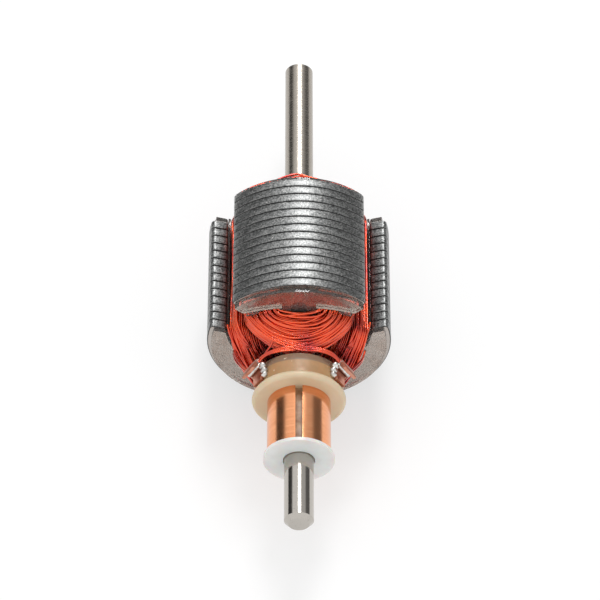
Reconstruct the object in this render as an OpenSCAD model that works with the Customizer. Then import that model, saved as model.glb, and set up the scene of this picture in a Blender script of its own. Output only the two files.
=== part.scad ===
// Armature of a small three-pole brushed DC motor.
// The shaft lies along Y with the commutator towards -Y, and +Z is up.
// The origin is on the surface the armature lies on, under the middle of the shaft.

/* [Shaft] */
// Diameter of the running ends of the shaft
shaft_d = 2.0; // [1.5:0.1:3]
// Length of the shaft
shaft_l = 40; // [36:0.5:50]
// Chamfer on the commutator end of the shaft
front_chamfer = 0.3; // [0.1:0.05:0.5]
// Chamfer on the drive end of the shaft
rear_chamfer = 0.15; // [0.05:0.05:0.5]
// How far the press-fit grip under the core stands proud of the shaft
grip_rise = 0.03; // [0.01:0.01:0.08]
// How much thinner the grip is at its commutator end, so that it presses home
grip_taper = 0.004; // [0.002:0.001:0.01]

/* [Core] */
// Diameter over the pole shoes
core_d = 12.68; // [12:0.02:14]
// Thickness of one lamination
sheet_t = 0.67; // [0.5:0.01:0.8]
// Number of laminations in the stack
sheet_count = 14; // [8:1:16]
// Middle of the stack, measured from the middle of the shaft
core_y = -0.18; // [-1:0.02:1]
// Half the angle that one pole shoe covers
shoe_half_angle = 46.75; // [40:0.25:50]
// Width of a tooth
tooth_w = 2.4; // [2:0.1:2.8]
// Radius of the hub that carries the teeth
hub_r = 2.0; // [1.8:0.05:2.2]
// Radius of the long arc under a shoe
under_r = 10.9; // [9:0.1:14]
// Height of the underside of a shoe over the shaft axis, at the tooth
under_z = 4.25; // [4.1:0.05:4.4]
// Rounding left by the punch on the rim of a lamination
sheet_edge = 0.07; // [0.02:0.01:0.12]
// Radius on the corners of a shoe tip
tip_r = 0.3; // [0.1:0.05:0.4]

/* [Insulation] */
// Thickness of the clear film on each end of the stack
film_t = 0.34; // [0.2:0.02:0.5]
// Distance of the end film from the rim of the laminations
film_inset = 0.3; // [0.1:0.05:0.5]
// Thickness of the film that lines a slot
liner_t = 0.14; // [0.1:0.02:0.2]
// How far the slot lining stands out past the stack, under the shoe tips
liner_ear = 0.5; // [0.2:0.05:0.8]

/* [Windings] */
// Diameter of the enamelled wire
wire_d = 0.19; // [0.16:0.01:0.2]
// Spacing of the turns
wire_pitch = 0.165; // [0.15:0.005:0.18]
// Layers of wire on a tooth
layer_count = 13; // [8:1:13]
// Radius on the inner corners of a coil
corner_r = 0.45; // [0.4:0.05:0.8]

/* [Commutator] */
// Diameter of the brush track
track_d = 4.32; // [4:0.02:4.6]
// Length of the brush track
track_l = 4.48; // [4:0.02:5]
// Thickness of the copper of a segment
copper_t = 0.3; // [0.2:0.05:0.4]
// Width of the slot between two segments
segment_gap = 0.48; // [0.3:0.02:0.6]
// Radius on the free corners of a segment
segment_corner = 0.22; // [0.1:0.02:0.4]
// Bevel round the free end of a segment
end_bevel = 0.06; // [0.02:0.01:0.1]
// Diameter of the boss behind the flange
boss_d = 6.1; // [5.8:0.05:6.3]
// Diameter of the boss at its end next to the coils
boss_end_d = 5.86; // [5.6:0.02:6]
// Length of the boss
boss_l = 1.55; // [1.4:0.05:1.7]
// Diameter of the flange
flange_d = 6.42; // [6.3:0.02:6.8]
// Thickness of the flange
flange_t = 0.56; // [0.4:0.02:0.7]
// Diameter of the retaining washer
washer_d = 4.84; // [4.6:0.02:5.2]
// Thickness of the retaining washer
washer_t = 0.24; // [0.2:0.02:0.4]

/* [Hooks] */
// Width of the neck of a hook
neck_w = 1.0; // [0.8:0.05:1.2]
// Width of the folded leaf of a hook
leaf_w = 1.45; // [1.2:0.05:1.6]
// Thickness of the hook's strip
strip_t = 0.22; // [0.15:0.01:0.25]
// Inside height of the fold, where the wires lie
fold_gap = 0.38; // [0.3:0.02:0.5]
// Length of the folded leaf
leaf_l = 0.66; // [0.5:0.02:0.8]
// How far the free end of the leaf is sprung outwards
leaf_flare = 0.28; // [0:0.02:0.4]
// Length of the strip that lies on the boss
strip_l = 1.05; // [0.8:0.05:1.1]
// Cut-off on the free corners of the leaf
leaf_chamfer = 0.2; // [0.1:0.05:0.3]

/* [Hidden] */
$fn = 96;
EPS = 0.01;
THIRDS = [1 : 3];
SHEETS = [1 : sheet_count];
// Poles and slots by their turn from straight up, clockwise from the commutator end.
POLE_TURNS = [0, 120, 240];
HOOK_TURNS = [60, 180, 300];
// Side of each hook that its solder is on.
SOLDER_SIDES = [-1, -1, 1];

core_r = core_d / 2;
slot_half_angle = 60 - shoe_half_angle;
// The core lies on the rounded corners of its two lower shoe tips.
tip_centre_r = core_r - tip_r + EPS;
tip_turn = slot_half_angle + asin(tip_r / tip_centre_r);
axis_z = tip_centre_r * cos(tip_turn) + tip_r;
shaft_r = shaft_d / 2;
grip_r = shaft_r + grip_rise;
stack_l = sheet_count * sheet_t;
under_c = under_z - under_r;
film_trim = 0.04;
// How far a tooth runs up into its shoe, and how far the mouth of a slot is opened past the tips.
tooth_lap = 0.1;
mouth_margin = 2;
ear_r = 0.75 * core_r;

// Places along the shaft, from its commutator end back to the coils.
washer_y = -14.86;
track_y = washer_y + washer_t;
flange_y = track_y + track_l;
boss_y = flange_y + flange_t;
boss_end_y = boss_y + boss_l;
boss_taper_l = 0.5;
washer_r = washer_d / 2;
washer_bore_r = grip_r + 0.05;
track_r = track_d / 2;
sleeve_r = track_r - copper_t;
flange_r = flange_d / 2;
boss_r = boss_d / 2;

// The grip runs under the commutator and the core.
grip_y0 = washer_y;
grip_y1 = core_y + stack_l / 2 + film_t;

// Hooks: the strip lies on the boss, folds outwards and comes back over the wires.
root_sink = 0.06;
root_r = sleeve_r - root_sink;
root_lap = 0.3;
neck_lift = 0.02;
neck_r = boss_r + neck_lift;
strip_r = neck_r + strip_t;
leaf_r = strip_r + fold_gap;
fold_r = fold_gap / 2 + strip_t;
fold_y = boss_y + strip_l;
shoulder_l = 0.25;

// Beads of solder beside a hook: distance from the neck, from the flange and over the boss, and size.
SOLDER_BEADS = [[0.18, 0.35, 0, 0.5], [0.22, 0.66, 0.06, 0.54], [0.24, 0.98, 0.2, 0.56]];

// Distance of the first layer of wire from its tooth.
first_layer = 0.1;

// Inner corner of the loop of a coil.
loop_x = tooth_w / 2 + liner_t;
corner_x = loop_x - corner_r;

// Heights of the top and bottom wire of a layer, by the layer's distance from the tooth,
// and the number of wires that show on the outermost layer.
COIL_TOP = [[0, 3.92], [0.9, 3.74], [1.7, 3.46], [2.2, 3.0]];
COIL_BOTTOM = [[0, 1.75], [1.0, 1.85], [2.2, 2.36]];
OUTER_ROWS = 5;

function sheet_name(i) = str("lamination_", i < 10 ? "0" : "", i);

// Places what is drawn about the shaft axis at the axis height.
module on_axis(y = 0) {
    translate([0, y, axis_z]) children();
}

// Turns a piece about the shaft: 0 degrees points up.
module turned(angle) {
    rotate([0, angle, 0]) children();
}

// Stands a flat outline across the shaft, from y0 towards +Y.
module across(y0, length) {
    translate([0, y0 + length, 0]) rotate([90, 0, 0]) linear_extrude(length) children();
}

// Spins a half section whose x is the radius and y the place along the shaft.
module turned_about_shaft() {
    rotate([-90, 0, 0]) rotate_extrude() children();
}

// ---- shaft ----

module shaft_section() {
    half = shaft_l / 2;
    polygon([
        [0, -half], [shaft_r - front_chamfer, -half], [shaft_r, -half + front_chamfer],
        [shaft_r, grip_y0], [grip_r - grip_taper, grip_y0], [grip_r, grip_y1], [shaft_r, grip_y1],
        [shaft_r, half - rear_chamfer], [shaft_r - rear_chamfer, half], [0, half]
    ]);
}

module shaft() {
    color("lightgray") on_axis() turned_about_shaft() shaft_section();
}

// ---- laminated core ----

// Outline of one tooth and its shoe, pointing up; trim draws every edge in.
module pole_outline(trim = 0) {
    half_w = tooth_w / 2 - trim;
    translate([-half_w, 0]) square([2 * half_w, under_z + tooth_lap]);
    intersection() {
        difference() {
            circle(core_r);
            translate([0, under_c]) circle(under_r + trim);
        }
        for (side = [0, 1]) mirror([side, 0]) shoe_half(trim);
    }
}

// One half of the room for a shoe, out to its end face, with the corners of the tip rounded.
module shoe_half(trim) {
    end_x = -trim;
    centre_x = end_x - tip_r;
    under = [-under_c * sin(shoe_half_angle), under_c * cos(shoe_half_angle)];
    outer_y = sqrt(pow(tip_centre_r, 2) - pow(centre_x, 2));
    inner_y = under.y + sqrt(pow(under_r + trim + tip_r - EPS, 2) - pow(under.x - centre_x, 2));
    intersection() {
        translate([-EPS, 0]) square(2 * core_r);
        rotate(-shoe_half_angle) {
            translate([centre_x - 3 * core_r, -core_r]) square(3 * core_r);
            translate([centre_x, inner_y]) square([tip_r, outer_y - inner_y]);
            for (y = [inner_y, outer_y]) translate([centre_x, y]) circle(tip_r);
        }
    }
}

// Outline of a lamination: three poles on a hub.
module core_outline(trim = 0) {
    circle(hub_r);
    for (a = POLE_TURNS) rotate(a) pole_outline(trim);
}

// A disc whose rim is rounded, to take the edges off a lamination.
module rimmed_disc() {
    e = sheet_edge;
    turned_about_shaft() {
        square([core_r - e, sheet_t]);
        translate([0, e]) square([core_r, sheet_t - 2 * e]);
        for (y = [e, sheet_t - e]) translate([core_r - e, y]) circle(e);
    }
}

module lamination(i) {
    color("dimgray") on_axis(core_y - stack_l / 2 + (i - 1) * sheet_t) difference() {
        intersection() {
            across(0, sheet_t) core_outline();
            rimmed_disc();
        }
        across(-1, sheet_t + 2) circle(grip_r);
    }
}

// ---- insulation ----

module end_film(y) {
    color([0.9, 0.88, 0.85]) on_axis(core_y + y) across(0, film_t) difference() {
        intersection() {
            core_outline(film_trim);
            circle(core_r - film_inset);
        }
        circle(grip_r);
    }
}

// Room beside a tooth that points up, under its shoe, with the walls drawn in by inset.
module tooth_side(side, inset) {
    intersection() {
        translate([0, under_c]) circle(under_r - inset);
        mirror([side, 0]) translate([tooth_w / 2 + inset, -core_r]) square(3 * core_r);
    }
}

// The slot that points up, between the tooth on its left and the tooth on its right.
module slot_space(inset = 0) {
    difference() {
        intersection() {
            rotate(60) tooth_side(0, inset);
            rotate(-60) tooth_side(1, inset);
        }
        circle(hub_r + inset);
    }
}

module slot_liner_outline() {
    a = slot_half_angle + mouth_margin;
    near = 0.6 * core_r;
    reach = 1.5 * core_r;
    mouth = [for (p = [[a, near], [a, reach], [-a, reach], [-a, near]]) p[1] * [sin(p[0]), cos(p[0])]];
    difference() {
        slot_space();
        slot_space(liner_t);
        polygon(mouth);
    }
}

// Film folded into one slot; its ears stand out past the stack under the shoe tips.
module slot_liner(angle) {
    color([0.93, 0.9, 0.86]) on_axis(core_y) turned(angle) {
        across(-stack_l / 2, stack_l) slot_liner_outline();
        across(-stack_l / 2 - liner_ear, stack_l + 2 * liner_ear) difference() {
            slot_liner_outline();
            circle(ear_r);
        }
    }
}

// ---- windings ----

function layer_at(i) = first_layer + i * wire_pitch;
function top_at(i) = lookup(layer_at(i), COIL_TOP);
function bottom_at(i) = lookup(layer_at(i), COIL_BOTTOM);

// Three points round the outside of a wire: what shows of it between its neighbours.
function ridge(centre, facing) =
    [for (a = [50, 0, -50]) centre + wire_d / 2 * [cos(facing + a), sin(facing + a)]];
function ridges(centres, facing) = [for (c = centres, p = ridge(c, facing)) p];

// Section of a coil: x is the distance from the tooth, y the height over the shaft axis.
// The outermost wires of every layer show as ridges.
module coil_section() {
    last = layer_count - 1;
    top = [for (i = [0 : last - 1]) [layer_at(i), top_at(i)]];
    bottom = [for (i = [last - 1 : -1 : 0]) [layer_at(i), bottom_at(i)]];
    row = (top_at(last) - bottom_at(last)) / (OUTER_ROWS - 1);
    outside = [for (j = [0 : OUTER_ROWS - 1]) [layer_at(last), top_at(last) - j * row]];
    polygon(concat(
        [[0, top_at(0)]], ridges(top, 90), ridges(outside, 0), ridges(bottom, -90), [[0, bottom_at(0)]]
    ));
}

// A loop round its tooth: runs in the two slots, runs over the two ends, and four corners.
module coil(angle) {
    color("orangered") on_axis(core_y) turned(angle) {
        for (side = [0, 1]) mirror([side, 0, 0]) translate([loop_x, stack_l / 2, 0])
            rotate([90, 0, 0]) linear_extrude(stack_l) coil_section();
        for (end = [0, 1]) mirror([0, end, 0]) {
            translate([-corner_x, stack_l / 2 + corner_r, 0])
                rotate([90, 0, 90]) linear_extrude(2 * corner_x) coil_section();
            for (side = [0, 1]) mirror([side, 0, 0]) translate([corner_x, stack_l / 2, 0])
                rotate_extrude(angle = 90) translate([corner_r, 0]) coil_section();
        }
    }
}

// ---- commutator ----

// Sleeve, rounded flange and boss, moulded in one piece.
module commutator_section() {
    rim = flange_t / 2;
    square_between([grip_r, track_y], [sleeve_r, boss_y]);
    square_between([grip_r, flange_y], [flange_r - rim, boss_y]);
    translate([flange_r - rim, flange_y + rim]) circle(rim);
    polygon([
        [grip_r, boss_y - EPS], [boss_r, boss_y - EPS], [boss_r, boss_end_y - boss_taper_l],
        [boss_end_d / 2, boss_end_y], [grip_r, boss_end_y]
    ]);
}

module square_between(low, high) {
    translate(low) square(high - low);
}

module commutator_body() {
    color("tan") on_axis() difference() {
        turned_about_shaft() commutator_section();
        for (a = HOOK_TURNS) turned(a) segment_root();
    }
}

// Draws a side view, x along the shaft and y up, as a strip of the given width.
module strip(width) {
    rotate([90, 0, 90]) linear_extrude(width, center = true) children();
}

// The foot of a hook: from under the track through the flange, then up behind it.
module segment_root() {
    strip(neck_w) {
        square_between([flange_y - root_lap, root_r], [boss_y + strip_t, root_r + copper_t]);
        square_between([boss_y, root_r], [boss_y + strip_t, strip_r]);
    }
}

// The strip on the boss, its fold, and the leaf that comes back over the wires.
module hook() {
    strip(neck_w) square_between([boss_y, neck_r], [fold_y - shoulder_l, strip_r]);
    intersection() {
        strip(leaf_w) {
            square_between([fold_y - shoulder_l - EPS, neck_r], [fold_y, strip_r]);
            leaf_side();
            difference() {
                translate([fold_y, neck_r + fold_r]) circle(fold_r);
                translate([fold_y, neck_r + fold_r]) circle(fold_gap / 2);
                square_between([fold_y - 1, neck_r - 1], [fold_y, leaf_r + 1]);
            }
        }
        linear_extrude(leaf_r + 1) leaf_plan();
    }
}

// The leaf seen from the side: it leaves the fold level and springs outwards to its free end.
module leaf_side() {
    free_y = fold_y - leaf_l;
    free_r = leaf_r + leaf_flare;
    polygon([
        [fold_y, leaf_r], [free_y, free_r], [free_y, free_r + strip_t], [fold_y, leaf_r + strip_t]
    ]);
}

// The leaf seen from outside the commutator, its free corners cut off.
module leaf_plan() {
    half_w = leaf_w / 2;
    free_y = fold_y - leaf_l;
    polygon([
        [-half_w, fold_y + 1], [-half_w, free_y + leaf_chamfer], [leaf_chamfer - half_w, free_y],
        [half_w - leaf_chamfer, free_y], [half_w, free_y + leaf_chamfer], [half_w, fold_y + 1]
    ]);
}

// One third of the brush track, less half a slot on each side.
module track_third() {
    reach = 3 * track_r;
    tip = segment_gap / 2 / sin(60);
    difference() {
        intersection() {
            turned_about_shaft() polygon([
                [sleeve_r, track_y], [track_r - end_bevel, track_y], [track_r, track_y + end_bevel],
                [track_r, flange_y], [sleeve_r, flange_y]
            ]);
            across(track_y, track_l) polygon([
                [0, tip], [reach * sin(60), tip + reach * cos(60)], [0, 2 * reach],
                [-reach * sin(60), tip + reach * cos(60)]
            ]);
        }
        for (side = [0, 1]) mirror([side, 0, 0]) turned(60) corner_cut();
    }
}

// What a rounded corner takes off a segment at its free end, beside a slot that points up.
module corner_cut() {
    low = [-segment_gap / 2 - segment_corner, track_y];
    linear_extrude(track_r + 1) difference() {
        translate([low.x, low.y - EPS]) square([segment_corner + EPS, segment_corner + EPS]);
        translate([low.x + EPS, low.y + segment_corner - EPS]) circle(segment_corner);
    }
}

module segment(angle) {
    color("peru") on_axis() turned(angle) {
        track_third();
        segment_root();
        hook();
    }
}

// ---- solder ----

// Solder that fills the crook of a hook and runs down one side of it on to the boss.
module solder_joint(angle, side) {
    color("silver") on_axis() turned(angle) {
        strip(leaf_w) translate([fold_y, neck_r + fold_r]) circle(fold_gap / 2);
        difference() {
            for (b = SOLDER_BEADS)
                translate([side * (neck_w / 2 + b.x), boss_y + b.y, neck_r + b.z]) sphere(d = b[3]);
            hook();
            segment_root();
            turned_about_shaft() square_between([0, boss_y - 1], [boss_r, boss_end_y + 1]);
        }
    }
}

// ---- retaining washer ----

module retaining_washer() {
    color("whitesmoke") on_axis() turned_about_shaft()
        square_between([washer_bore_r, washer_y], [washer_r, track_y]);
}

shaft();
end_film(-stack_l / 2 - film_t);  // front_end_film
end_film(stack_l / 2);  // rear_end_film
commutator_body();
retaining_washer();
for (i = SHEETS) lamination(i);
for (i = THIRDS) slot_liner(HOOK_TURNS[i - 1]);
for (i = THIRDS) coil(POLE_TURNS[i - 1]);
for (i = THIRDS) segment(HOOK_TURNS[i - 1]);
for (i = THIRDS) solder_joint(HOOK_TURNS[i - 1], SOLDER_SIDES[i - 1]);
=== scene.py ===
"""Looks of a three-pole motor armature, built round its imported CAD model."""

import logging
import math
import random
from collections.abc import Iterable, Sequence
from dataclasses import dataclass, field
from enum import Enum

import bmesh
import bpy
from mathutils import Matrix, Vector


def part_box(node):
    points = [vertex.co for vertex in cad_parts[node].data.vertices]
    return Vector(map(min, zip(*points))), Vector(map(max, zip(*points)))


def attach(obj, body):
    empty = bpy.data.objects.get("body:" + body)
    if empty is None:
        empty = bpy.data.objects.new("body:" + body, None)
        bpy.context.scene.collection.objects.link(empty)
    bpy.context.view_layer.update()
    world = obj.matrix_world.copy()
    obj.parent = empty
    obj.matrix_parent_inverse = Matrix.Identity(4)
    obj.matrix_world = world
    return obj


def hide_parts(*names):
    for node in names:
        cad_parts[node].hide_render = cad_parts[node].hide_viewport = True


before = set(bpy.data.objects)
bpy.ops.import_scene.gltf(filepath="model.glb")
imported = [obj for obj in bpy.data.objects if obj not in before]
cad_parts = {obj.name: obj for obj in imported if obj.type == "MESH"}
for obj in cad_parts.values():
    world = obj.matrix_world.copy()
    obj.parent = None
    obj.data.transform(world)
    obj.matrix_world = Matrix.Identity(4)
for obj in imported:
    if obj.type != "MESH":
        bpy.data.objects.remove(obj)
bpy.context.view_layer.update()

LOG = logging.getLogger("armature")
MM = 0.001
BODY = "root"

Colour = tuple[float, float, float]


def srgb(red: int, green: int, blue: int) -> Colour:
    """A colour written in 0 to 255 display values, as linear light.

    Args:
        red: Display red.
        green: Display green.
        blue: Display blue.

    Returns:
        Linear red, green and blue.
    """

    def linear(value: int) -> float:
        """One display value as linear light."""
        share = value / 255
        return share / 12.92 if share <= 0.04045 else ((share + 0.055) / 1.055) ** 2.4

    return linear(red), linear(green), linear(blue)


class Side(Enum):
    """Side of the armature, seen from the commutator end."""

    LEFT = -1
    RIGHT = 1


class End(Enum):
    """End of the stack, as the sign of its direction along the shaft."""

    COMMUTATOR = -1
    DRIVE = 1


# ---- places taken from the CAD model ----


@dataclass(frozen=True)
class Places:
    """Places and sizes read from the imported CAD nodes, in metres."""

    axis: Vector
    stack_front: float
    stack_rear: float
    boss_rear: float

    @classmethod
    def read(cls) -> "Places":
        """Measures the CAD nodes that the dressed pieces are set against.

        Returns:
            The places.
        """
        shaft_low, shaft_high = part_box("shaft")
        first_low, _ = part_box("lamination_01")
        _, last_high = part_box(f"lamination_{Core.SHEETS:02d}")
        _, body_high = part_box("commutator_body")
        return cls(
            axis=Vector((0.0, 0.0, (shaft_low.z + shaft_high.z) / 2)),
            stack_front=first_low.y,
            stack_rear=last_high.y,
            boss_rear=body_high.y,
        )

    def about_shaft(self, degrees: float) -> Matrix:
        """The turn about the shaft that takes straight up to that many degrees clockwise."""
        shift = Matrix.Translation(self.axis)
        return shift @ Matrix.Rotation(math.radians(degrees), 4, "Y")


# ---- shader node groups ----


class Effect:
    """A shader node group with named sockets, built once and shared by the finishes."""

    def __init__(self, name: str) -> None:
        """Starts an empty group.

        Args:
            name: Name of the node group.
        """
        self.tree = bpy.data.node_groups.new(name, "ShaderNodeTree")
        self.entry = self.tree.nodes.new("NodeGroupInput")
        self.exit = self.tree.nodes.new("NodeGroupOutput")

    def takes(self, name: str, kind: str, value: float | Sequence[float] | None = None) -> None:
        """Adds a named input.

        Args:
            name: Name of the socket.
            kind: Blender's name of the socket type.
            value: Its default value, if it has one of its own.
        """
        socket = self.tree.interface.new_socket(name, in_out="INPUT", socket_type=kind)
        if value is not None:
            socket.default_value = value

    def gives(self, name: str, kind: str) -> None:
        """Adds a named output."""
        self.tree.interface.new_socket(name, in_out="OUTPUT", socket_type=kind)

    def node(self, kind: str, **settings: object) -> bpy.types.Node:
        """Adds a node and sets its properties."""
        return add_node(self.tree, kind, **settings)

    def join(self, source: bpy.types.NodeSocket, target: bpy.types.NodeSocket) -> None:
        """Links one socket to another."""
        self.tree.links.new(source, target)


def add_node(tree: bpy.types.NodeTree, kind: str, **settings: object) -> bpy.types.Node:
    """Adds a node to a tree and sets its properties.

    Args:
        tree: The node tree.
        kind: Blender's name of the node type.
        **settings: Properties of the node by name.

    Returns:
        The new node.
    """
    node = tree.nodes.new(kind)
    for name, value in settings.items():
        setattr(node, name, value)
    return node


def build_mottle() -> bpy.types.NodeTree:
    """Two colours mixed by a stretched noise, with a mask and a height: grain, streaks and specks.

    Returns:
        The node group.
    """
    effect = Effect("mottle")
    effect.takes("Vector", "NodeSocketVector")
    effect.takes("Stretch", "NodeSocketVector", (1.0, 1.0, 1.0))
    effect.takes("Scale", "NodeSocketFloat", 1000.0)
    effect.takes("Detail", "NodeSocketFloat", 3.0)
    effect.takes("Low", "NodeSocketFloat", 0.4)
    effect.takes("High", "NodeSocketFloat", 0.6)
    effect.takes("Color A", "NodeSocketColor", (0.2, 0.2, 0.2, 1.0))
    effect.takes("Color B", "NodeSocketColor", (0.3, 0.3, 0.3, 1.0))
    effect.gives("Color", "NodeSocketColor")
    effect.gives("Mask", "NodeSocketFloat")
    effect.gives("Height", "NodeSocketFloat")
    stretched = effect.node("ShaderNodeVectorMath", operation="MULTIPLY")
    effect.join(effect.entry.outputs["Vector"], stretched.inputs[0])
    effect.join(effect.entry.outputs["Stretch"], stretched.inputs[1])
    noise = effect.node("ShaderNodeTexNoise")
    effect.join(stretched.outputs[0], noise.inputs["Vector"])
    effect.join(effect.entry.outputs["Scale"], noise.inputs["Scale"])
    effect.join(effect.entry.outputs["Detail"], noise.inputs["Detail"])
    mask = effect.node("ShaderNodeMapRange", interpolation_type="SMOOTHSTEP")
    effect.join(noise.outputs[0], mask.inputs["Value"])
    effect.join(effect.entry.outputs["Low"], mask.inputs["From Min"])
    effect.join(effect.entry.outputs["High"], mask.inputs["From Max"])
    mix = effect.node("ShaderNodeMix", data_type="RGBA")
    effect.join(mask.outputs[0], mix.inputs[0])
    effect.join(effect.entry.outputs["Color A"], mix.inputs[6])
    effect.join(effect.entry.outputs["Color B"], mix.inputs[7])
    effect.join(mix.outputs[2], effect.exit.inputs["Color"])
    effect.join(mask.outputs[0], effect.exit.inputs["Mask"])
    effect.join(noise.outputs[0], effect.exit.inputs["Height"])
    return effect.tree


def build_band() -> bpy.types.NodeTree:
    """A mask that rises from 0 to 1 between two places on one axis of the piece.

    Returns:
        The node group.
    """
    effect = Effect("band")
    effect.takes("Vector", "NodeSocketVector")
    effect.takes("Axis", "NodeSocketVector", (0.0, 1.0, 0.0))
    effect.takes("From", "NodeSocketFloat", 0.0)
    effect.takes("To", "NodeSocketFloat", 1.0)
    effect.gives("Mask", "NodeSocketFloat")
    along = effect.node("ShaderNodeVectorMath", operation="DOT_PRODUCT")
    effect.join(effect.entry.outputs["Vector"], along.inputs[0])
    effect.join(effect.entry.outputs["Axis"], along.inputs[1])
    mask = effect.node("ShaderNodeMapRange", interpolation_type="SMOOTHSTEP")
    effect.join(along.outputs["Value"], mask.inputs["Value"])
    effect.join(effect.entry.outputs["From"], mask.inputs["From Min"])
    effect.join(effect.entry.outputs["To"], mask.inputs["From Max"])
    effect.join(mask.outputs[0], effect.exit.inputs["Mask"])
    return effect.tree


class Look:
    """A material under construction: its Principled shader and helpers to feed it."""

    groups: dict[str, bpy.types.NodeTree] = {}

    def __init__(self, name: str, **plain: float | Colour) -> None:
        """Starts a material.

        Args:
            name: Name of the material.
            **plain: Values set straight on the Principled shader, with _ for a space.
        """
        self.material = bpy.data.materials.new(name)
        self.material.use_nodes = True
        self.tree = self.material.node_tree
        self.shader = self.tree.nodes["Principled BSDF"]
        for key, value in plain.items():
            socket = self.shader.inputs[key.replace("_", " ")]
            socket.default_value = (*value, 1.0) if isinstance(value, tuple) else value
        self.coords = add_node(self.tree, "ShaderNodeTexCoord").outputs["Object"]

    def effect(self, name: str, **values: float | Sequence[float] | bpy.types.NodeSocket) -> bpy.types.Node:
        """Places a shared effect and sets or links its inputs.

        Args:
            name: The effect's name.
            **values: Inputs by name, with _ for a space; a socket is linked.

        Returns:
            The group node.
        """
        if name not in Look.groups:
            Look.groups[name] = {"mottle": build_mottle, "band": build_band}[name]()
        node = add_node(self.tree, "ShaderNodeGroup", node_tree=Look.groups[name])
        self.join(self.coords, node.inputs["Vector"])
        for key, value in values.items():
            socket = node.inputs[key.replace("_", " ")]
            if isinstance(value, bpy.types.NodeSocket):
                self.join(value, socket)
            elif socket.type == "RGBA":
                socket.default_value = (*value, 1.0)
            else:
                socket.default_value = value
        return node

    def join(self, source: bpy.types.NodeSocket, target: bpy.types.NodeSocket) -> None:
        """Links one socket to another."""
        self.tree.links.new(source, target)

    def math(self, operation: str, first: object, second: object = 0.0) -> bpy.types.NodeSocket:
        """A math node on two sockets or numbers.

        Args:
            operation: Blender's name of the operation.
            first: A socket or a number.
            second: A socket or a number.

        Returns:
            The node's result.
        """
        node = add_node(self.tree, "ShaderNodeMath", operation=operation)
        for value, socket in zip((first, second), node.inputs):
            if isinstance(value, bpy.types.NodeSocket):
                self.join(value, socket)
            else:
                socket.default_value = value
        return node.outputs[0]

    def mix(self, share: bpy.types.NodeSocket, low: object, high: object) -> bpy.types.NodeSocket:
        """Mixes two colours by a mask.

        Args:
            share: The mask, 0 for the first colour and 1 for the second.
            low: The first colour, a socket or a colour.
            high: The second colour, a socket or a colour.

        Returns:
            The mixed colour.
        """
        node = add_node(self.tree, "ShaderNodeMix", data_type="RGBA")
        self.join(share, node.inputs[0])
        for value, socket in ((low, node.inputs[6]), (high, node.inputs[7])):
            if isinstance(value, bpy.types.NodeSocket):
                self.join(value, socket)
            else:
                socket.default_value = (*value, 1.0)
        return node.outputs[2]

    def span(self, share: bpy.types.NodeSocket, low: float, high: float) -> bpy.types.NodeSocket:
        """Spreads a mask over a range of values.

        Args:
            share: The mask.
            low: Value where the mask is 0.
            high: Value where the mask is 1.

        Returns:
            The value.
        """
        node = add_node(self.tree, "ShaderNodeMapRange")
        self.join(share, node.inputs["Value"])
        node.inputs["To Min"].default_value = low
        node.inputs["To Max"].default_value = high
        return node.outputs[0]

    def coloured(self, source: bpy.types.NodeSocket) -> None:
        """Feeds the base colour."""
        self.join(source, self.shader.inputs["Base Color"])

    def roughened(self, source: bpy.types.NodeSocket) -> None:
        """Feeds the roughness."""
        self.join(source, self.shader.inputs["Roughness"])

    def bumped(self, height: bpy.types.NodeSocket, depth: float, strength: float = 1.0) -> None:
        """Feeds the normal from a height.

        Args:
            height: The height over the surface.
            depth: What a height of 1 stands for, in metres.
            strength: Share of the bump that shows.
        """
        bump = add_node(self.tree, "ShaderNodeBump")
        bump.inputs["Strength"].default_value = strength
        bump.inputs["Distance"].default_value = depth
        self.join(height, bump.inputs["Height"])
        self.join(bump.outputs["Normal"], self.shader.inputs["Normal"])

    def normal_along(self, axis: Vector) -> bpy.types.NodeSocket:
        """Measures how far the surface faces along an axis.

        Args:
            axis: Unit vector of the axis.

        Returns:
            A value from -1 to 1.
        """
        facing = add_node(self.tree, "ShaderNodeTexCoord")
        dot = add_node(self.tree, "ShaderNodeVectorMath", operation="DOT_PRODUCT")
        self.join(facing.outputs["Normal"], dot.inputs[0])
        dot.inputs[1].default_value = axis
        return dot.outputs["Value"]


# ---- finishes ----


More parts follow.
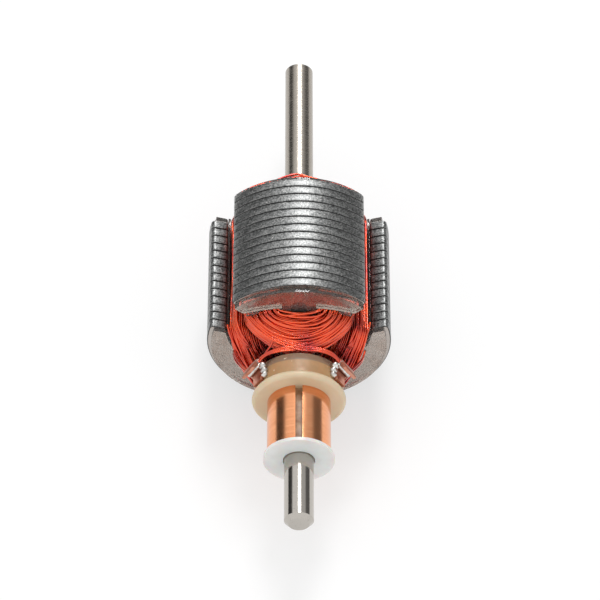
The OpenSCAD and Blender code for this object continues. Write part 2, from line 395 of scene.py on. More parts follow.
@dataclass(frozen=True)
class CoreSteel:
    """Punched sheet steel: dark and speckled on the ground rim, light and smooth on its faces."""

    rim_dark: Colour = srgb(96, 97, 97)
    rim_light: Colour = srgb(160, 161, 160)
    speck: Colour = srgb(226, 224, 220)
    oxide: Colour = srgb(30, 29, 29)
    face: Colour = srgb(182, 175, 169)
    speck_share: float = 0.8
    joint_from: float = 0.27 * MM
    joint_to: float = 0.32 * MM
    face_facing: float = 0.97
    face_gloss: float = 0.16
    slot: str = "core_steel"

    def build(self, tint: float, middle: float) -> bpy.types.Material:
        """Makes the material of one lamination.

        Args:
            tint: Lightness of this sheet against the others.
            middle: Place of the sheet's middle along the shaft.

        Returns:
            The material.
        """
        look = Look("core_steel", Metallic=1.0, Roughness=0.42)
        rim = look.effect(
            "mottle", Scale=8200.0, Detail=4.0, Low=0.34, High=0.7,
            Color_A=tuple(c * tint for c in self.rim_dark),
            Color_B=tuple(c * tint for c in self.rim_light),
        )
        specks = look.effect("mottle", Scale=13000.0, Detail=1.0, Low=0.66, High=0.72)
        speck_mask = look.math("MULTIPLY", specks.outputs["Mask"], self.speck_share)
        speckled = look.mix(speck_mask, rim.outputs["Color"], self.speck)
        before = look.effect("band", From=middle - self.joint_from, To=middle - self.joint_to)
        after = look.effect("band", From=middle + self.joint_from, To=middle + self.joint_to)
        at_joint = look.math("MAXIMUM", before.outputs["Mask"], after.outputs["Mask"])
        rim_colour = look.mix(at_joint, speckled, self.oxide)
        face = look.effect(
            "mottle", Scale=2600.0, Low=0.25, High=0.75,
            Color_A=tuple(c * 0.9 for c in self.face), Color_B=self.face,
        )
        facing = look.math("ABSOLUTE", look.normal_along(Vector((0, 1, 0))))
        on_face = look.math("GREATER_THAN", facing, self.face_facing)
        look.coloured(look.mix(on_face, rim_colour, face.outputs["Color"]))
        rough = look.span(rim.outputs["Mask"], 0.34, 0.46)
        look.roughened(look.math("SUBTRACT", rough, look.math("MULTIPLY", on_face, self.face_gloss)))
        look.bumped(rim.outputs["Height"], 0.012 * MM, 0.5)
        return look.material


@dataclass(frozen=True)
class ShaftSteel:
    """Ground and polished steel rod, duller on the long end."""

    bright: Colour = srgb(186, 181, 174)
    dull: Colour = srgb(170, 163, 154)
    pit: Colour = srgb(110, 104, 98)
    pit_share: float = 0.35
    fade: float = 2 * MM
    slot: str = "shaft_steel"

    def build(self, polished_to: float) -> bpy.types.Material:
        """Makes the material of the shaft.

        Args:
            polished_to: Place along the shaft where the polish ends.

        Returns:
            The material.
        """
        look = Look("shaft_steel", Metallic=1.0, Roughness=0.2)
        zone = look.effect("band", From=polished_to, To=polished_to + self.fade)
        rings = look.effect(
            "mottle", Stretch=(1.0, 60.0, 1.0), Scale=180.0, Detail=4.0, Low=0.35, High=0.65
        )
        pits = look.effect("mottle", Scale=6000.0, Detail=2.0, Low=0.6, High=0.8)
        base = look.mix(zone.outputs["Mask"], self.bright, self.dull)
        look.coloured(look.mix(look.math("MULTIPLY", pits.outputs["Mask"], self.pit_share), base, self.pit))
        rough = look.span(rings.outputs["Mask"], 0.0, 0.09)
        look.roughened(look.math("ADD", rough, look.span(zone.outputs["Mask"], 0.07, 0.22)))
        look.bumped(rings.outputs["Height"], 0.004 * MM, 0.35)
        return look.material


@dataclass(frozen=True)
class ClearFilm:
    """Clear insulating film, faintly hazy."""

    tint: Colour = srgb(250, 246, 242)
    haze: Colour = srgb(238, 228, 220)
    slot: str = "clear_film"

    def build(self) -> bpy.types.Material:
        """Makes the film's material.

        Returns:
            The material.
        """
        look = Look("clear_film", Roughness=0.05, Transmission_Weight=0.96, IOR=1.46, Metallic=0.0)
        haze = look.effect(
            "mottle", Scale=1100.0, Low=0.35, High=0.75, Color_A=self.tint, Color_B=self.haze
        )
        look.coloured(haze.outputs["Color"])
        look.roughened(look.span(haze.outputs["Mask"], 0.03, 0.12))
        look.bumped(haze.outputs["Height"], 0.03 * MM, 0.25)
        return look.material


@dataclass(frozen=True)
class Enamel:
    """Copper wire under a clear red-orange enamel."""

    deep: Colour = srgb(176, 18, 2)
    fresh: Colour = srgb(240, 84, 28)
    slot: str = "enamelled_wire"

    def build(self) -> bpy.types.Material:
        """Makes the wire's material.

        Returns:
            The material.
        """
        look = Look(
            "enamelled_wire", Metallic=1.0, Roughness=0.2, Coat_Weight=1.0,
            Coat_Roughness=0.06, Coat_IOR=1.6,
        )
        tone = look.effect(
            "mottle", Scale=420.0, Detail=2.0, Low=0.3, High=0.7, Color_A=self.deep, Color_B=self.fresh
        )
        look.coloured(tone.outputs["Color"])
        look.roughened(look.span(tone.outputs["Mask"], 0.14, 0.24))
        look.bumped(tone.outputs["Height"], 0.02 * MM, 0.2)
        return look.material


@dataclass(frozen=True)
class Moulding:
    """Cream nylon: a pale flange, and a boss that is tan in front and carries painted shade from the coils,
    greyer, behind.
    """

    cream: Colour = srgb(214, 196, 166)
    cream_shade: Colour = srgb(206, 186, 154)
    tan: Colour = srgb(178, 138, 96)
    tan_shade: Colour = srgb(166, 128, 90)
    # Painted shade: the grey that the rear of the boss is mixed to, under the coils.
    painted_shade_grey: Colour = srgb(140, 114, 92)
    fleck: Colour = srgb(214, 196, 172)
    floor: Colour = srgb(132, 92, 58)
    floor_light: Colour = srgb(168, 136, 104)
    slot: str = "commutator_nylon"

    def build(self, flange_front: float, flange_rear: float, tan_rear: float) -> bpy.types.Material:
        """Makes the commutator moulding's material.

        Args:
            flange_front: Place along the shaft where the flange starts, past the slots' floors.
            flange_rear: Place along the shaft where the flange ends.
            tan_rear: Place where the tan part of the boss ends and its painted shade begins.

        Returns:
            The material.
        """
        look = Look("commutator_nylon", Roughness=0.42, Subsurface_Weight=0.25, Subsurface_Scale=0.0006)
        cream = look.effect(
            "mottle", Scale=500.0, Low=0.3, High=0.7, Color_A=self.cream, Color_B=self.cream_shade
        )
        boss = look.effect(
            "mottle", Scale=1500.0, Low=0.3, High=0.75, Color_A=self.tan, Color_B=self.tan_shade
        )
        behind = look.effect("band", From=flange_rear - 0.05 * MM, To=flange_rear + 0.03 * MM)
        # Painted shade: past tan_rear, towards the stack, the boss is mixed to grey where the coils shade
        # it.
        painted_shade_band = look.effect("band", From=tan_rear - 0.04 * MM, To=tan_rear + 0.04 * MM)
        flecks = look.effect("mottle", Scale=3400.0, Detail=1.0, Low=0.7, High=0.76)
        dark = look.mix(painted_shade_band.outputs["Mask"], boss.outputs["Color"], self.painted_shade_grey)
        flecked = look.mix(flecks.outputs["Mask"], dark, self.fleck)
        # Browner colour on the floors of the slots, in front of the flange.
        slot_floor = look.effect(
            "mottle", Scale=1900.0, Low=0.35, High=0.7, Color_A=self.floor, Color_B=self.floor_light
        )
        before = look.effect("band", From=flange_front - 0.02 * MM, To=flange_front - 0.04 * MM)
        pale = look.mix(before.outputs["Mask"], cream.outputs["Color"], slot_floor.outputs["Color"])
        look.coloured(look.mix(behind.outputs["Mask"], pale, flecked))
        look.roughened(look.span(boss.outputs["Mask"], 0.36, 0.5))
        look.bumped(boss.outputs["Height"], 0.03 * MM, 0.35)
        return look.material


@dataclass(frozen=True)
class TrackCopper:
    """Turned copper of the brush track, tinned and duller on the hooks."""

    copper: Colour = srgb(246, 174, 128)
    worn: Colour = srgb(236, 158, 112)
    pink: Colour = srgb(214, 152, 128)
    pink_shade: Colour = srgb(186, 118, 92)
    tin: Colour = srgb(206, 200, 192)
    tin_from: float = 1.05 * MM
    tin_to: float = 1.35 * MM
    hook_fade: float = 0.1 * MM
    slot: str = "commutator_copper"

    def build(self, flange_rear: float) -> bpy.types.Material:
        """Makes the segments' material.

        Args:
            flange_rear: Place along the shaft where the hooks start.

        Returns:
            The material.
        """
        look = Look("commutator_copper", Metallic=1.0, Roughness=0.24)
        turned = look.effect(
            "mottle", Stretch=(1.0, 14.0, 1.0), Scale=420.0, Detail=3.0, Low=0.2, High=0.8,
            Color_A=self.copper, Color_B=self.worn,
        )
        hook = look.effect(
            "mottle", Scale=1800.0, Low=0.3, High=0.7, Color_A=self.pink, Color_B=self.pink_shade
        )
        tinned = look.effect("mottle", Scale=1500.0, Detail=2.0, Low=0.46, High=0.56)
        fold = look.effect("band", From=flange_rear + self.tin_from, To=flange_rear + self.tin_to)
        tin_mask = look.math("MULTIPLY", tinned.outputs["Mask"], fold.outputs["Mask"])
        hook_colour = look.mix(tin_mask, hook.outputs["Color"], self.tin)
        behind = look.effect("band", From=flange_rear, To=flange_rear + self.hook_fade)
        look.coloured(look.mix(behind.outputs["Mask"], turned.outputs["Color"], hook_colour))
        rough = look.math(
            "ADD", look.span(turned.outputs["Mask"], 0.16, 0.24),
            look.span(behind.outputs["Mask"], 0.0, 0.14),
        )
        look.roughened(rough)
        look.bumped(turned.outputs["Height"], 0.003 * MM, 0.3)
        return look.material


@dataclass(frozen=True)
class Solder:
    """Bright solder with a slightly frosted skin."""

    bright: Colour = srgb(226, 224, 220)
    frosted: Colour = srgb(186, 184, 180)
    slot: str = "solder"

    def build(self) -> bpy.types.Material:
        """Makes the solder's material.

        Returns:
            The material.
        """
        look = Look("solder", Metallic=1.0, Roughness=0.25)
        skin = look.effect(
            "mottle", Scale=2400.0, Low=0.3, High=0.7, Color_A=self.bright, Color_B=self.frosted
        )
        look.coloured(skin.outputs["Color"])
        look.roughened(look.span(skin.outputs["Mask"], 0.16, 0.4))
        look.bumped(skin.outputs["Height"], 0.08 * MM, 0.6)
        return look.material


@dataclass(frozen=True)
class WasherNylon:
    """Plain white nylon, a little see-through."""

    white: Colour = srgb(224, 224, 222)
    shade: Colour = srgb(214, 213, 210)
    slot: str = "washer_nylon"

    def build(self) -> bpy.types.Material:
        """Makes the washer's material.

        Returns:
            The material.
        """
        look = Look("washer_nylon", Roughness=0.38, Subsurface_Weight=0.3, Subsurface_Scale=0.0008)
        cloud = look.effect(
            "mottle", Scale=700.0, Low=0.3, High=0.7, Color_A=self.white, Color_B=self.shade
        )
        look.coloured(cloud.outputs["Color"])
        look.roughened(look.span(cloud.outputs["Mask"], 0.32, 0.44))
        look.bumped(cloud.outputs["Height"], 0.02 * MM, 0.3)
        return look.material


# ---- mesh helpers ----


def as_piece(
    mesh: bmesh.types.BMesh, name: str, finish: bpy.types.Material
) -> bpy.types.Object:
    """Turns a bmesh into a piece that rides on the armature.

    Args:
        mesh: The finished mesh, which is freed.
        name: Name of the piece.
        finish: Its material.

    Returns:
        The new object.
    """
    data = bpy.data.meshes.new(name)
    mesh.to_mesh(data)
    mesh.free()
    data.shade_smooth()
    data.materials.append(finish)
    piece = bpy.data.objects.new(name, data)
    bpy.context.scene.collection.objects.link(piece)
    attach(piece, BODY)
    LOG.info("%s: %d faces", name, len(data.polygons))
    return piece


def dress(node: str, finish: bpy.types.Material) -> None:
    """Gives a CAD node its material and leaves its mesh alone.

    Args:
        node: Name of the CAD node.
        finish: Its material.
    """
    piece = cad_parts[node]
    piece.data.materials.clear()
    piece.data.materials.append(finish)
    LOG.info("%s dressed", node)


def sweep(mesh: bmesh.types.BMesh, path: Sequence[Vector], radius: float, sides: int, closed: bool) -> None:
    """Runs a round wire along a path by extruding a ring of edges from point to point.

    Args:
        mesh: The bmesh that takes the wire.
        path: The points that its middle follows.
        radius: Radius of the wire.
        sides: Number of flats round it.
        closed: Whether it returns to its start.
    """
    count = len(path)
    rings: list[list[bmesh.types.BMVert]] = []
    across = Vector((0, 0, 1))
    for index, point in enumerate(path):
        before = path[index - 1] if index or closed else point
        after = path[(index + 1) % count] if index + 1 < count or closed else point
        along = (after - before).normalized()
        across = (across - across.dot(along) * along).normalized()
        third = along.cross(across)
        ring = [
            mesh.verts.new(
                point + radius * (math.cos(turn) * across + math.sin(turn) * third)
            )
            for turn in (2 * math.pi * k / sides for k in range(sides))
        ]
        rings.append(ring)
    pairs = list(zip(rings, rings[1:]))
    if closed:
        first = rings[0]
        shift = min(range(sides), key=lambda s: (first[s].co - rings[-1][0].co).length)
        pairs.append((rings[-1], first[shift:] + first[:shift]))
    for low, high in pairs:
        for k in range(sides):
            after = (k + 1) % sides
            mesh.faces.new((low[k], low[after], high[after], high[k]))
    if not closed:
        mesh.faces.new(list(reversed(rings[0])))
        mesh.faces.new(rings[-1])


# ---- core ----


@dataclass
class Core:
    """The laminated stack, with the punch's rounding on both edges of every sheet."""

    SHEETS = 14

    places: Places
    edge: float = 0.08 * MM
    gap: float = 0.02 * MM
    weld: float = 0.06 * MM
    edge_steps: int = 3
    bore_limit: float = 1.2 * MM
    steel: CoreSteel = field(default_factory=CoreSteel)
    seed: int = 7

    def half_outline(self) -> bmesh.types.BMesh:
        """Cuts the first CAD lamination at half its thickness and keeps the right half of its outline.

        Returns:
            A flat face in the plane y = 0 with its cut side on x = 0.
        """
        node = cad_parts["lamination_01"]
        low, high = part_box("lamination_01")
        middle = Vector((0, (low.y + high.y) / 2, 0))
        mesh = bmesh.new()
        mesh.from_mesh(node.data)
        bmesh.ops.remove_doubles(mesh, verts=mesh.verts, dist=1e-8)
        bmesh.ops.bisect_plane(
            mesh, geom=[*mesh.verts, *mesh.edges, *mesh.faces], dist=1e-9, plane_co=middle,
            plane_no=Vector((0, 1, 0)), clear_inner=True, clear_outer=True,
        )
        bmesh.ops.bisect_plane(
            mesh, geom=[*mesh.verts, *mesh.edges, *mesh.faces], dist=1e-9, plane_co=Vector((0, 0, 0)),
            plane_no=Vector((1, 0, 0)), clear_inner=True,
        )
        bmesh.ops.remove_doubles(mesh, verts=mesh.verts, dist=self.weld)
        on_cut = sorted((v for v in mesh.verts if abs(v.co.x) < 1e-7), key=lambda v: v.co.z)
        if len(on_cut) != 4:
            raise ValueError(f"the lamination's cut meets its middle at {len(on_cut)} points, not 4")
        for low_vert, high_vert in (on_cut[:2], on_cut[2:]):
            mesh.edges.new((low_vert, high_vert))
        bmesh.ops.contextual_create(mesh, geom=mesh.edges)
        bmesh.ops.translate(mesh, verts=mesh.verts, vec=-middle)
        return mesh

    def sheet(self) -> bmesh.types.BMesh:
        """Makes one sheet about the plane y = 0, with its rim rounded on both sides.

        Returns:
            The closed mesh of the sheet.
        """
        low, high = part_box("lamination_01")
        thickness = high.y - low.y - self.gap
        mesh = self.half_outline()
        bmesh.ops.translate(mesh, verts=mesh.verts, vec=Vector((0, -thickness / 2, 0)))
        made = bmesh.ops.extrude_face_region(mesh, geom=mesh.faces)
        moved = [item for item in made["geom"] if isinstance(item, bmesh.types.BMVert)]
        bmesh.ops.translate(mesh, verts=moved, vec=Vector((0, thickness, 0)))
        walls = [face for face in mesh.faces if all(abs(v.co.x) < 1e-7 for v in face.verts)]
        bmesh.ops.delete(mesh, geom=walls, context="FACES_ONLY")
        axis_z = self.places.axis.z
        rims = [
            edge
            for edge in mesh.edges
            if len(edge.link_faces) == 2
            and abs(edge.verts[0].co.y - edge.verts[1].co.y) < 1e-9
            and max(math.hypot(v.co.x, v.co.z - axis_z) for v in edge.verts) > self.bore_limit
        ]
        bmesh.ops.bevel(
            mesh, geom=rims, offset=self.edge, offset_type="OFFSET", segments=self.edge_steps, profile=0.5,
            affect="EDGES", material=-1, clamp_overlap=True,
        )
        bmesh.ops.mirror(mesh, geom=[*mesh.verts, *mesh.edges, *mesh.faces], axis="X", merge_dist=1e-7)
        bmesh.ops.remove_doubles(mesh, verts=mesh.verts, dist=1e-7)
        bmesh.ops.recalc_face_normals(mesh, faces=mesh.faces)
        return mesh

    def build(self) -> None:
        """Makes the sheets, each in its CAD node's place."""
        rng = random.Random(self.seed)
        pattern = self.sheet()
        for number in range(1, self.SHEETS + 1):
            node = f"lamination_{number:02d}"
            low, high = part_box(node)
            mesh = pattern.copy()
            bmesh.ops.translate(mesh, verts=mesh.verts, vec=Vector((0, (low.y + high.y) / 2, 0)))
            finish = self.steel.build(rng.uniform(0.9, 1.08), (low.y + high.y) / 2)
            piece = as_piece(mesh, f"sheet_{number:02d}", finish)
            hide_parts(node)
        pattern.free()


# ---- insulation ----


@dataclass
class Insulation:
    """The clear film on both ends of the stack and in its slots."""

    places: Places
    film: ClearFilm = field(default_factory=ClearFilm)

    def build(self) -> None:
        """Dresses the film."""
        finish = self.film.build()
        for node in ("front_end_film", "rear_end_film", "slot_liner_1", "slot_liner_2", "slot_liner_3"):
            dress(node, finish)


# ---- windings ----


@dataclass(frozen=True)
class Lay:
    """How the wires of one coil lie over the ends of its tooth.

    The heights are over the shaft axis, of the outermost layer where it passes the middle of the tooth.
    """

    top_mid: float = 2.7 * MM
    drive_mid: float = 3.4 * MM
    bottom_mid: float = 2.1 * MM
    reach: float = 2.85 * MM
    point: float = 1.5
    loose: tuple[int, ...] = ()


@dataclass
class Windings:
    """Three coils of enamelled wire, each wound round its tooth."""

    places: Places
    enamel: Enamel = field(default_factory=Enamel)
    wire_r: float = 0.084 * MM
    pitch: float = 0.172 * MM
    first: float = 0.1 * MM
    layers: int = 14
    tooth_half: float = 1.34 * MM
    inner_reach: float = 0.42 * MM
    inner_power: float = 2.3
    outer_rows: int = 6
    slack_runs: int = 4
    slack_steps: int = 30
    slack_overhang: float = 1.5 * MM
    slack_x: float = 3.55 * MM
    slack_z: float = 3.12 * MM
    steps: int = 24
    sides: int = 7
    seed: int = 11

    TOP = ((0.0, 3.92), (0.9, 3.74), (1.7, 3.46), (2.4, 3.28))
    BOTTOM = ((0.0, 1.75), (1.0, 1.85), (2.4, 2.45))

    def height(self, table: Sequence[tuple[float, float]], depth: float) -> float:
        """Looks a height over the shaft axis up by the distance from the tooth.

        Args:
            table: Pairs of distance and height, in millimetres.
            depth: Distance from the tooth, in metres.

        Returns:
            The height in metres.
        """
        d = depth / MM
        for (d0, h0), (d1, h1) in zip(table, table[1:]):
            if d <= d1:
                return (h0 + (h1 - h0) * (d - d0) / (d1 - d0)) * MM
        return table[-1][1] * MM

    def turn(self, depth: float, share: float, rng: random.Random, lay: Lay) -> list[Vector]:
        """The path of one turn of wire about a tooth that points up.

        Args:
            depth: Distance of the turn from the tooth.
            share: Its place in its layer, 1 for the top and 0 for the bottom.
            rng: Source of the small wanderings.
            lay: How the coil lies over the ends.

        Returns:
            The points of the closed path.
        """
        top, bottom = self.height(self.TOP, depth), self.height(self.BOTTOM, depth)
        level = bottom + (top - bottom) * share
        full = self.layers * self.pitch
        outer = depth / full
        wide = self.tooth_half + depth
        reach = self.inner_reach + depth * (lay.reach - self.inner_reach) / full
        power = self.inner_power - (self.inner_power - lay.point) * outer
        sags = {
            end: (level - lay.bottom_mid - (top_mid - lay.bottom_mid) * share) * outer**1.5
            for end, top_mid in ((End.COMMUTATOR, lay.top_mid), (End.DRIVE, lay.drive_mid))
        }
        half = (self.places.stack_rear - self.places.stack_front) / 2
        middle = (self.places.stack_rear + self.places.stack_front) / 2
        phases = [rng.uniform(0, 2 * math.pi) for _ in range(5)]
        wander = rng.uniform(0.02, 0.06) * MM
        skew = rng.gauss(0, 0.09) * MM
        points: list[Vector] = []
        for end in (End.COMMUTATOR, End.DRIVE):
            start = 0.0 if end is End.COMMUTATOR else math.pi
            for step in range(self.steps + 1):
                angle = start + math.pi * step / self.steps
                c, s = math.cos(angle), abs(math.sin(angle))
                x = wide * math.copysign(abs(c) ** (2 / power), c)
                past = reach * s ** (2 / power)
                ripple = wander * (math.sin(2 * angle + phases[0]) + 0.5 * math.sin(5 * angle + phases[1]))
                x += (skew + ripple) * s
                y = end.value * (half + max(0.0, past + (ripple + skew * c) * s))
                lift = wander * math.sin(3 * angle + phases[2]) + skew * math.sin(angle + phases[3])
                points.append(Vector((x, y + middle, level - sags[end] * s * s + lift * s)))
            x_side = -wide if end is End.COMMUTATOR else wide
            for k in (1, 2, 3):
                y = end.value * half * (1 - k / 2)
                drift = wander * math.sin(phases[4] + k)
                points.append(Vector((x_side + drift, y + middle, level + drift)))
        return points

    def loose_turn(self, side: int, rank: int, rng: random.Random) -> list[Vector]:
        """A slack run of wire that bulges in the mouth of the slot beside the coil.

        Args:
            side: -1 for the slot on the coil's left, 1 for its right.
            rank: Its place among the slack runs.
            rng: Source of the small wanderings.

        Returns:
            The points of the open path, for a tooth that points up.
        """
        front, rear = self.places.stack_front, self.places.stack_rear
        bulge = (0.34 + 0.2 * rank + rng.uniform(-0.05, 0.05)) * MM
        peak = rng.uniform(0.45, 0.65)
        warp = math.log(0.5) / math.log(peak)
        points: list[Vector] = []
        for k in range(self.slack_steps + 1):
            along = k / self.slack_steps
            y = front - self.slack_overhang + (rear - front + 2 * self.slack_overhang) * along
            swell = math.sin(math.pi * along**warp) ** 0.7 if 0 < along < 1 else 0.0
            past = max(0.0, front - y, y - rear) / MM
            x = self.slack_x + bulge * swell - 0.5 * past * MM
            z = self.slack_z - 0.1 * rank * MM - 0.5 * bulge * swell - 0.3 * past * past * MM
            points.append(Vector((side * x, y, z)))
        return points

    def coil(self, angle: float, number: int, finish: bpy.types.Material, lay: Lay) -> None:
        """Winds one coil.

        Args:
            angle: Turn of its tooth from straight up.
            number: Number of its CAD node.
            finish: The wire's material.
            lay: How the coil lies over the ends.
        """
        rng = random.Random(self.seed + number)
        mesh = bmesh.new()
        depths = [self.first + i * self.pitch for i in range(self.layers)]
        turns: list[tuple[float, float]] = []
        for index, depth in enumerate(depths):
            turns += [(depth + rng.uniform(-0.03, 0.03) * MM, share) for share in (1.0, 0.0)]
            if index < self.layers - 1:
                turns += [(depth + self.pitch / 2, 0.86), (depth + self.pitch / 2, 0.5)]
        for row in range(1, self.outer_rows):
            turns += [(depths[-1], row / self.outer_rows), (depths[-2], (row - 0.5) / self.outer_rows)]
        for depth, share in turns:
            sweep(mesh, self.turn(depth, share, rng, lay), self.wire_r, self.sides, True)
        for side in lay.loose:
            for rank in range(self.slack_runs):
                sweep(mesh, self.loose_turn(side, rank, rng), self.wire_r, self.sides, False)
        mesh.transform(self.places.about_shaft(angle))
        bmesh.ops.recalc_face_normals(mesh, faces=mesh.faces)
        piece = as_piece(mesh, f"winding_{number}", finish)
        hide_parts(f"coil_{number}")

    def build(self) -> None:
        """Winds the three coils: the top one slopes towards the boss, the side ones bulge."""
        finish = self.enamel.build()
        self.coil(0, 1, finish, Lay())
        self.coil(120, 2, finish, Lay(top_mid=3.35 * MM, loose=(-1,)))
        self.coil(240, 3, finish, Lay(top_mid=3.35 * MM, loose=(1,)))
        Leads(self.places, self.wire_r, self.sides).build(finish, self.enamel.slot)


def smooth_path(knots: Sequence[Vector], each: int) -> list[Vector]:
    """A smooth path through some points.

    Args:
        knots: The points that it passes through.
        each: Number of steps between two of them.

    Returns:
        The points of the path.
    """
    padded = [2 * knots[0] - knots[1], *knots, 2 * knots[-1] - knots[-2]]
    path: list[Vector] = []
    for a, b, c, d in zip(padded, padded[1:], padded[2:], padded[3:]):
        for k in range(each):
            t = k / each
            square = (2 * a - 5 * b + 4 * c - d) * t * t
            cube = (3 * b - a - 3 * c + d) * t**3
            path.append(0.5 * (2 * b + (c - a) * t + square + cube))
    path.append(knots[-1].copy())
    return path


@dataclass
class Leads:
    """The wires that run from the coils to the hooks, crossing behind the boss."""

    places: Places
    wire_r: float
    sides: int
    seed: int = 5
    steps: int = 6
    wander: float = 0.02 * MM

    # Points over the shaft axis in millimetres: from the left slot round to the hook on the right.
    ACROSS = (
        (-3.95, -4.6, 3.34), (-3.5, -5.35, 3.3), (-2.75, -6.25, 3.16), (-1.7, -7.05, 2.98),
        (-0.6, -7.5, 2.88), (0.3, -7.72, 2.84), (1.3, -7.84, 2.84), (2.1, -8.02, 2.74),
        (2.62, -8.3, 2.5), (2.86, -8.5, 2.08), (3.05, -8.52, 1.7),
    )
    # From the coil beside a hook, in under its fold.
    BESIDE = (
        (4.5, -6.3, 0.6), (4.3, -7.1, 0.75), (3.9, -7.8, 0.95),
        (3.5, -8.3, 1.15), (3.25, -8.5, 1.4), (2.95, -8.52, 1.85),
    )
    # A single wire that drops between the coils.
    DROP = (
        (-1.75, -6.9, 3.0), (-1.95, -7.35, 2.8), (-2.2, -7.7, 2.62), (-2.5, -8.1, 2.45), (-2.8, -8.5, 2.1),
    )
    # Offsets in millimetres of the strands that cross together.
    STRANDS = ((0, 0, 0), (0.02, 0.17, 0.05), (0.05, 0.33, 0.12))
    # Offset in millimetres of a strand's mirrored partner, so that they pass over each other.
    PARTNER = (0, 0.08, -0.09)
    # Turns about the shaft of the two crossings that are not on top.
    OTHER_CROSSINGS = (120, 240)

    def run(
        self, mesh: bmesh.types.BMesh, knots: Iterable[tuple[float, float, float]], side: Side, shift: Vector
    ) -> None:
        """Runs one wire through some points.

        Args:
            mesh: The bmesh that takes it.
            knots: Points in millimetres over the shaft axis.
            side: RIGHT as listed, LEFT mirrored.
            shift: Offset of this wire from the points, which fades at the hook.
        """
        rng = random.Random(self.seed + len(mesh.verts))
        points = [Vector((side.value * x, y, z)) * MM for x, y, z in knots]
        last = len(points) - 1
        spots: list[Vector] = []
        for k, point in enumerate(points):
            drift = Vector([rng.uniform(-self.wander, self.wander) for _ in range(3)])
            spots.append(point + shift * (1 - (k / last) ** 2) + drift + self.places.axis)
        sweep(mesh, smooth_path(spots, self.steps), self.wire_r, self.sides, False)

    def build(self, finish: bpy.types.Material, slot: str) -> None:
        """Lays the leads.

        Args:
            finish: The wire's material.
            slot: Name of the wire's material slot; not used.
        """
        mesh = bmesh.new()
        for offset in self.STRANDS:
            shift = Vector(offset)
            self.run(mesh, self.ACROSS, Side.RIGHT, shift * MM)
            self.run(mesh, self.ACROSS, Side.LEFT, (shift + Vector(self.PARTNER)) * MM)
        for side in Side:
            self.run(mesh, self.BESIDE, side, Vector((0, 0, 0)))
            self.run(mesh, self.BESIDE, side, Vector((0.05, 0.1, 0.17)) * MM)
        self.run(mesh, self.DROP, Side.RIGHT, Vector((0, 0, 0)))
        for turn in self.OTHER_CROSSINGS:
            copy = bmesh.new()
            for side in Side:
                self.run(copy, self.ACROSS, side, Vector((0, 0.1 * side.value, 0.05)) * MM)
            copy.transform(self.places.about_shaft(turn) @ Matrix.Translation(-self.places.axis))
            data = bpy.data.meshes.new("spare")
            copy.to_mesh(data)
            copy.free()
            mesh.from_mesh(data)
            bpy.data.meshes.remove(data)
        bmesh.ops.recalc_face_normals(mesh, faces=mesh.faces)
        as_piece(mesh, "leads", finish)


# ---- commutator ----


@dataclass
class Commutator:
    """The moulding, its three copper segments, their solder, and the washer."""

    places: Places
    nylon: Moulding = field(default_factory=Moulding)
    copper: TrackCopper = field(default_factory=TrackCopper)
    solder: Solder = field(default_factory=Solder)
    washer: WasherNylon = field(default_factory=WasherNylon)
    boss_length: float = 1.55 * MM
    flange_thickness: float = 0.56 * MM
    tan_length: float = 0.95 * MM
    track_lap: float = 0.1 * MM

    def build(self) -> None:
        """Dresses the commutator."""
        flange_rear = self.places.boss_rear - self.boss_length
        flange_front = flange_rear - self.flange_thickness
        body = self.nylon.build(flange_front, flange_rear, flange_rear + self.tan_length)
        dress("commutator_body", body)
        copper = self.copper.build(flange_rear - self.track_lap)
        solder = self.solder.build()
        for number in (1, 2, 3):
            dress(f"segment_{number}", copper)
            dress(f"solder_joint_{number}", solder)
        dress("retaining_washer", self.washer.build())


@dataclass
class Shaft:
    """The rod that carries everything."""

    places: Places
    steel: ShaftSteel = field(default_factory=ShaftSteel)

    def build(self) -> None:
        """Dresses the shaft."""
        dress("shaft", self.steel.build(self.places.stack_front))


# ---- studio ----


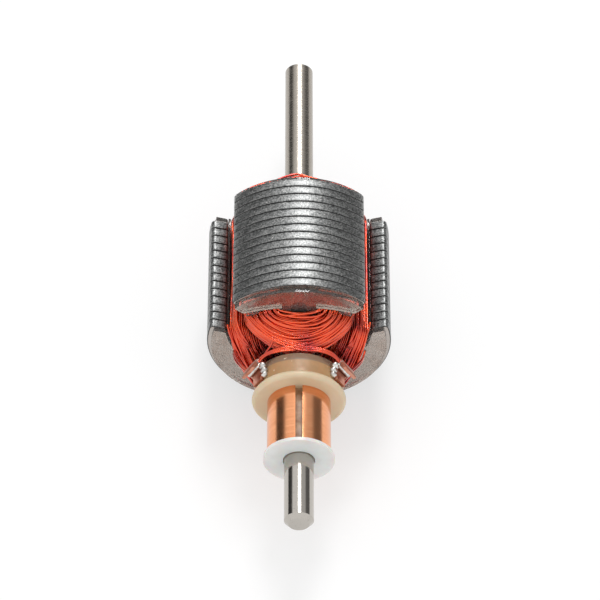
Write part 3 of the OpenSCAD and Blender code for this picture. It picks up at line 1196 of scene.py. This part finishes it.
@dataclass
class Studio:
    """A pale floor, soft light and the camera."""

    places: Places
    lens: float = 202.3
    distance: float = 0.2345
    elevation: float = 52.2
    aim: Vector = field(default_factory=lambda: Vector((0.07 * MM, -1.22 * MM, 0.0)))
    walls: tuple[float, float] = (0.07, 0.16)
    ceilings: tuple[float, float] = (1.0, 0.6)
    front: float = 1.05
    floor_albedo: float = 0.93
    floor_lift: float = 0.6
    key_place: Vector = field(default_factory=lambda: Vector((0.035, 0.303, 0.4)))
    key_size: tuple[float, float] = (0.12, 0.22)
    key_power: float = 1.0

    def camera(self) -> None:
        """Places the camera and makes it the scene's."""
        data = bpy.data.cameras.new("camera")
        data.lens = self.lens
        data.sensor_width = 36.0
        data.clip_start, data.clip_end = 0.01, 10.0
        camera = bpy.data.objects.new("camera", data)
        bpy.context.scene.collection.objects.link(camera)
        tilt = math.radians(self.elevation)
        back = Vector((0, -math.cos(tilt), math.sin(tilt)))
        camera.location = self.aim + self.places.axis + back * self.distance
        camera.rotation_mode = "QUATERNION"
        camera.rotation_quaternion = (-back).to_track_quat("-Z", "Y")
        bpy.context.scene.camera = camera

    def floor(self) -> None:
        """Lays the floor under the armature.

        The camera, gloss and glass see it lifted towards white, and it keeps the armature's shadow.
        """
        mesh = bmesh.new()
        bmesh.ops.create_grid(mesh, x_segments=8, y_segments=8, size=2.0)
        data = bpy.data.meshes.new("floor")
        mesh.to_mesh(data)
        mesh.free()
        look = Look("floor_white", Base_Color=(self.floor_albedo,) * 3, Roughness=0.9)
        tree = look.tree
        ray = add_node(tree, "ShaderNodeLightPath")
        shown = look.math("MAXIMUM", ray.outputs["Is Camera Ray"], ray.outputs["Is Glossy Ray"])
        shown = look.math("MAXIMUM", shown, ray.outputs["Is Transmission Ray"])
        lit = add_node(tree, "ShaderNodeEmission")
        lit.inputs["Strength"].default_value = 1.0
        blend = add_node(tree, "ShaderNodeMixShader")
        look.join(look.math("MULTIPLY", shown, self.floor_lift), blend.inputs[0])
        look.join(look.shader.outputs[0], blend.inputs[1])
        look.join(lit.outputs[0], blend.inputs[2])
        look.join(blend.outputs[0], tree.nodes["Material Output"].inputs["Surface"])
        data.materials.append(look.material)
        floor = bpy.data.objects.new("floor", data)
        bpy.context.scene.collection.objects.link(floor)

    def lamp(self, name: str, place: Vector, size: tuple[float, float], power: float) -> None:
        """Hangs a soft rectangular lamp that faces the armature.

        Args:
            name: Name of the lamp.
            place: Where it hangs.
            size: Its width and height.
            power: Its power in watts.
        """
        data = bpy.data.lights.new(name, "AREA")
        data.shape = "RECTANGLE"
        data.size, data.size_y = size
        data.energy = power
        lamp = bpy.data.objects.new(name, data)
        bpy.context.scene.collection.objects.link(lamp)
        lamp.location = place
        lamp.rotation_mode = "QUATERNION"
        lamp.rotation_quaternion = (self.places.axis - place).to_track_quat("-Z", "Y")

    def world(self) -> None:
        """Lights the room softly, with darker walls that the polished metal shows."""
        world = bpy.data.worlds.new("studio")
        bpy.context.scene.world = world
        world.use_nodes = True
        tree = world.node_tree
        background = tree.nodes["Background"]
        ray = add_node(tree, "ShaderNodeLightPath")
        direction = add_node(tree, "ShaderNodeTexCoord")
        parts = add_node(tree, "ShaderNodeSeparateXYZ")
        tree.links.new(direction.outputs["Generated"], parts.inputs[0])

        def ramp(
            source: bpy.types.NodeSocket, low: float, high: float, ends: tuple[object, object]
        ) -> bpy.types.NodeSocket:
            """Makes a smooth step between two strengths.

            Args:
                source: The value that the step follows.
                low: Where the step starts.
                high: Where it ends.
                ends: The strength before it and after it, each a number or a socket.

            Returns:
                The strength.
            """
            step = add_node(tree, "ShaderNodeMapRange", interpolation_type="SMOOTHSTEP")
            tree.links.new(source, step.inputs["Value"])
            step.inputs["From Min"].default_value = low
            step.inputs["From Max"].default_value = high
            for value, socket in zip(ends, (step.inputs["To Min"], step.inputs["To Max"])):
                if isinstance(value, bpy.types.NodeSocket):
                    tree.links.new(value, socket)
                else:
                    socket.default_value = value
            return step.outputs[0]

        walls = ramp(parts.outputs["X"], -0.3, 0.3, self.walls)
        ceiling = ramp(parts.outputs["X"], 0.1, 0.3, self.ceilings)
        behind = ramp(parts.outputs["Z"], 0.42, 0.58, (walls, ceiling))
        room = ramp(parts.outputs["Y"], -0.25, 0.15, (self.front, behind))
        seen = add_node(tree, "ShaderNodeMix", data_type="FLOAT")
        tree.links.new(ray.outputs["Is Camera Ray"], seen.inputs[0])
        tree.links.new(room, seen.inputs[2])
        seen.inputs[3].default_value = 1.0
        tree.links.new(seen.outputs[0], background.inputs["Strength"])
        background.inputs["Color"].default_value = (1.0, 1.0, 1.0, 1.0)

    def build(self) -> None:
        """Sets the studio up."""
        self.camera()
        self.floor()
        self.world()
        self.lamp("key", self.key_place, self.key_size, self.key_power)
        bpy.context.scene.view_settings.view_transform = "Standard"


def main() -> None:
    """Builds the armature's pieces in order, then the studio."""
    logging.basicConfig(level=logging.INFO, format="%(name)s: %(message)s")
    places = Places.read()
    Shaft(places).build()
    Core(places).build()
    Insulation(places).build()
    Windings(places).build()
    Commutator(places).build()
    Studio(places).build()


if __name__ == "__main__":
    main()
